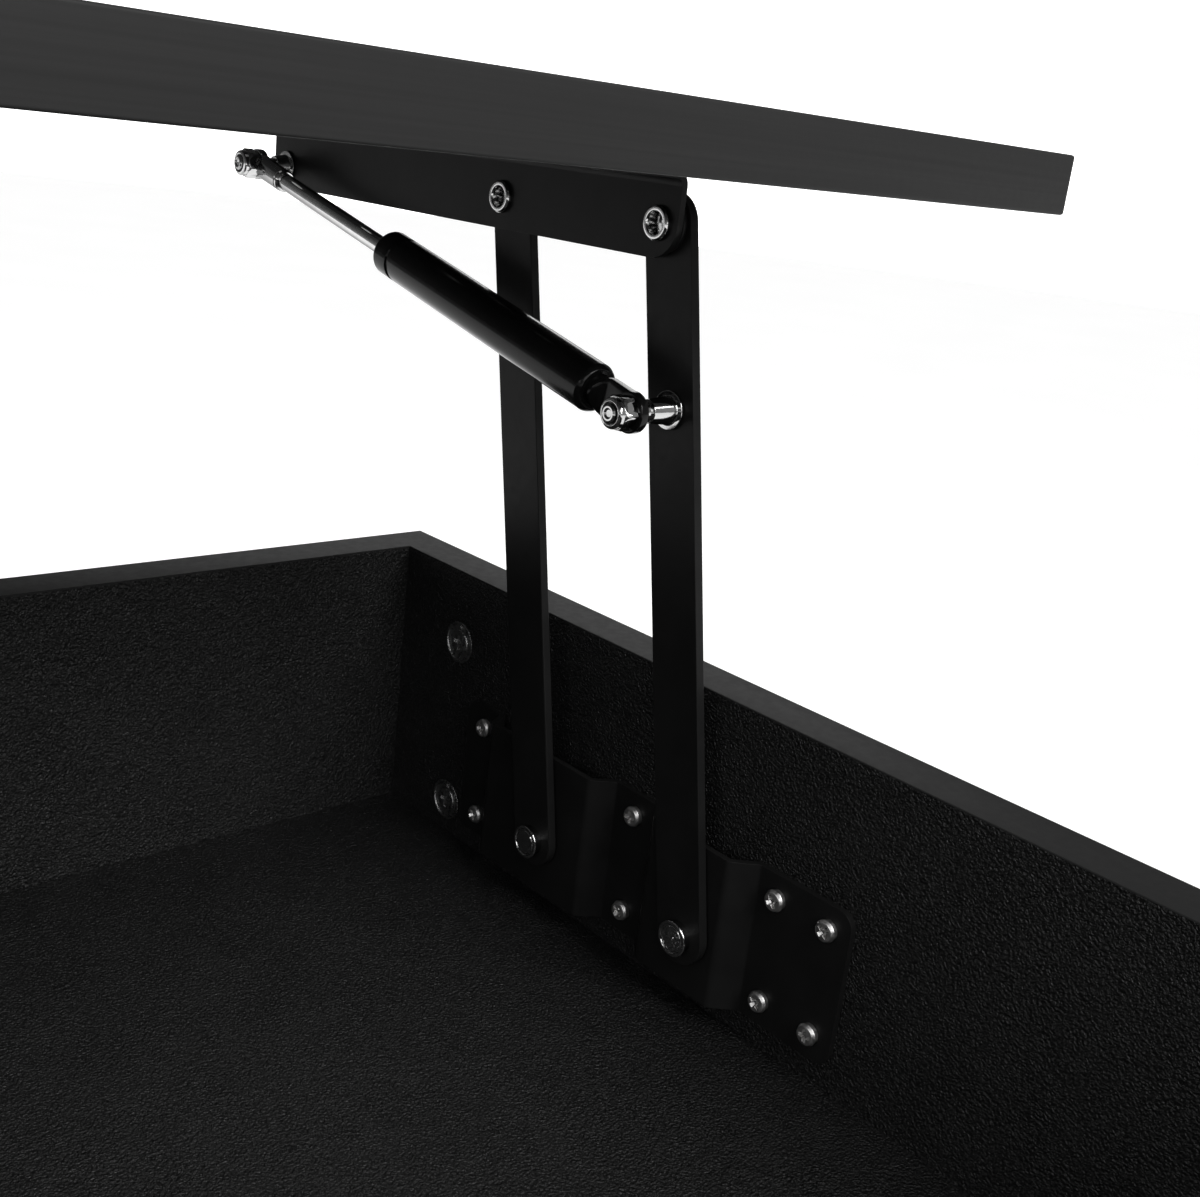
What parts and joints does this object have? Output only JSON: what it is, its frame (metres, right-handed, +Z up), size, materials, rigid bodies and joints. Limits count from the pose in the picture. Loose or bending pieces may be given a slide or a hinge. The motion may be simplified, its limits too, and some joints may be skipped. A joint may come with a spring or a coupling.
{
  "type": "lift top coffee table",
  "caption": "Low table on end panels with a shallow compartment, an open shelf and a top that rises toward the user on parallel arms with gas springs.",
  "frame": {"origin": "on the floor under the middle of the case, at the underside of the centre leg's foot", "axes": "+X along the table to the user's right, -Y toward the user, +Z up; at rest the top is raised"},
  "size_m": [1.04, 0.6902, 0.5511],
  "materials": {
    "melamine_board": "black melamine faced chipboard, finely pebbled, satin",
    "top_edge_strip": "dark grey edge strip with a faint lengthwise grain",
    "case_edge_strip": "smooth satin black edge strip",
    "dowel_wood": "plain beech",
    "black_plastic": "moulded black plastic",
    "cam_zinc": "die-cast zinc, dull",
    "zinc_screw": "bright zinc plate",
    "polished_rod": "polished hard chrome",
    "spring_black": "black enamel, semi-gloss",
    "chrome_hardware": "bright nickel plate",
    "powder_steel": "black powder coat, satin"
  },
  "bodies": {
    "case": {"front_apron": "melamine_board", "rear_apron": "melamine_board", "left_end_panel": "melamine_board", "right_end_panel": "melamine_board", "case_edging": "case_edge_strip", "compartment_floor": "melamine_board", "lower_shelf": "melamine_board", "left_divider": "melamine_board", "right_divider": "melamine_board", "cam_locks": "cam_zinc", "cam_bolts": "cam_zinc", "dowels": "dowel_wood", "divider_screws": "zinc_screw", "foot_glides": "black_plastic", "centre_leg": "black_plastic", "leg_screws": "zinc_screw", "left_base_bracket": "powder_steel", "left_base_screws": "zinc_screw", "left_base_rivets": "chrome_hardware", "left_base_washers": "powder_steel", "right_base_bracket": "powder_steel", "right_base_screws": "zinc_screw", "right_base_rivets": "chrome_hardware", "right_base_washers": "powder_steel"},
    "lifting_top": {"table_top": "melamine_board", "top_edging": "top_edge_strip", "left_top_bracket": "powder_steel", "left_top_screws": "zinc_screw", "left_top_rivets": "chrome_hardware", "left_top_washers": "powder_steel", "left_upper_stud": "chrome_hardware", "left_upper_nut": "chrome_hardware", "right_top_bracket": "powder_steel", "right_top_screws": "zinc_screw", "right_top_rivets": "chrome_hardware", "right_top_washers": "powder_steel", "right_upper_stud": "chrome_hardware", "right_upper_nut": "chrome_hardware"},
    "left_rear_link": {"left_rear_arm": "powder_steel"},
    "left_front_link": {"left_front_arm": "powder_steel"},
    "left_rod_unit": {"left_spring_rod": "polished_rod", "left_rod_eye": "chrome_hardware", "left_piston": "zinc_screw"},
    "left_tube_unit": {"left_spring_tube": "spring_black", "left_rod_guide": "black_plastic", "left_end_lug": "spring_black", "left_lower_stud": "chrome_hardware", "left_lower_nut": "chrome_hardware"},
    "right_rear_link": {"right_rear_arm": "powder_steel"},
    "right_front_link": {"right_front_arm": "powder_steel"},
    "right_rod_unit": {"right_spring_rod": "polished_rod", "right_rod_eye": "chrome_hardware", "right_piston": "zinc_screw"},
    "right_tube_unit": {"right_spring_tube": "spring_black", "right_rod_guide": "black_plastic", "right_end_lug": "spring_black", "right_lower_stud": "chrome_hardware", "right_lower_nut": "chrome_hardware"}
  },
  "joints": [
    {"name": "lift", "type": "hinge", "parent": "case", "child": "left_rear_link", "pos_m": [-0.4575, -0.029, 0.323], "axis": [-1, 0, 0], "range_deg": [0, 85.1]},
    {"name": "top_levelling", "type": "hinge", "parent": "left_rear_link", "child": "lifting_top", "pos_m": [-0.4575, -0.06947, 0.52192], "axis": [-1, 0, 0], "range_deg": [-85.1, 0]},
    {"name": "right_rear_arm_swing", "type": "hinge", "parent": "case", "child": "right_rear_link", "pos_m": [0.4575, -0.029, 0.323], "axis": [-1, 0, 0], "range_deg": [0, 85.1]},
    {"name": "left_front_arm_swing", "type": "hinge", "parent": "case", "child": "left_front_link", "pos_m": [-0.4575, -0.097, 0.323], "axis": [-1, 0, 0], "range_deg": [0, 85.1]},
    {"name": "right_front_arm_swing", "type": "hinge", "parent": "case", "child": "right_front_link", "pos_m": [0.4575, -0.097, 0.323], "axis": [-1, 0, 0], "range_deg": [0, 85.1]},
    {"name": "left_spring_swing", "type": "hinge", "parent": "lifting_top", "child": "left_rod_unit", "pos_m": [-0.441, -0.26307, 0.51972], "axis": [1, 0, 0], "range_deg": [0, 8.27]},
    {"name": "left_spring_stroke", "type": "slide", "parent": "left_rod_unit", "child": "left_tube_unit", "axis": [0, -0.9746, 0.224], "range_m": [0, 0.06276]},
    {"name": "right_spring_swing", "type": "hinge", "parent": "lifting_top", "child": "right_rod_unit", "pos_m": [0.441, -0.26307, 0.51972], "axis": [1, 0, 0], "range_deg": [0, 8.27]},
    {"name": "right_spring_stroke", "type": "slide", "parent": "right_rod_unit", "child": "right_tube_unit", "axis": [0, -0.9746, 0.224], "range_m": [0, 0.06276]}
  ],
  "couplings": [
    {"joint": "top_levelling", "follows": "lift", "ratio": -1},
    {"joint": "right_rear_arm_swing", "follows": "lift", "ratio": 1},
    {"joint": "left_front_arm_swing", "follows": "lift", "ratio": 1},
    {"joint": "right_front_arm_swing", "follows": "lift", "ratio": 1},
    {"joint": "left_spring_swing", "follows": "lift", "ratio": 0.097161},
    {"joint": "left_spring_stroke", "follows": "lift", "m_per_rad": 0.042243},
    {"joint": "right_spring_swing", "follows": "lift", "ratio": 0.097161},
    {"joint": "right_spring_stroke", "follows": "lift", "m_per_rad": 0.042243}
  ]
}
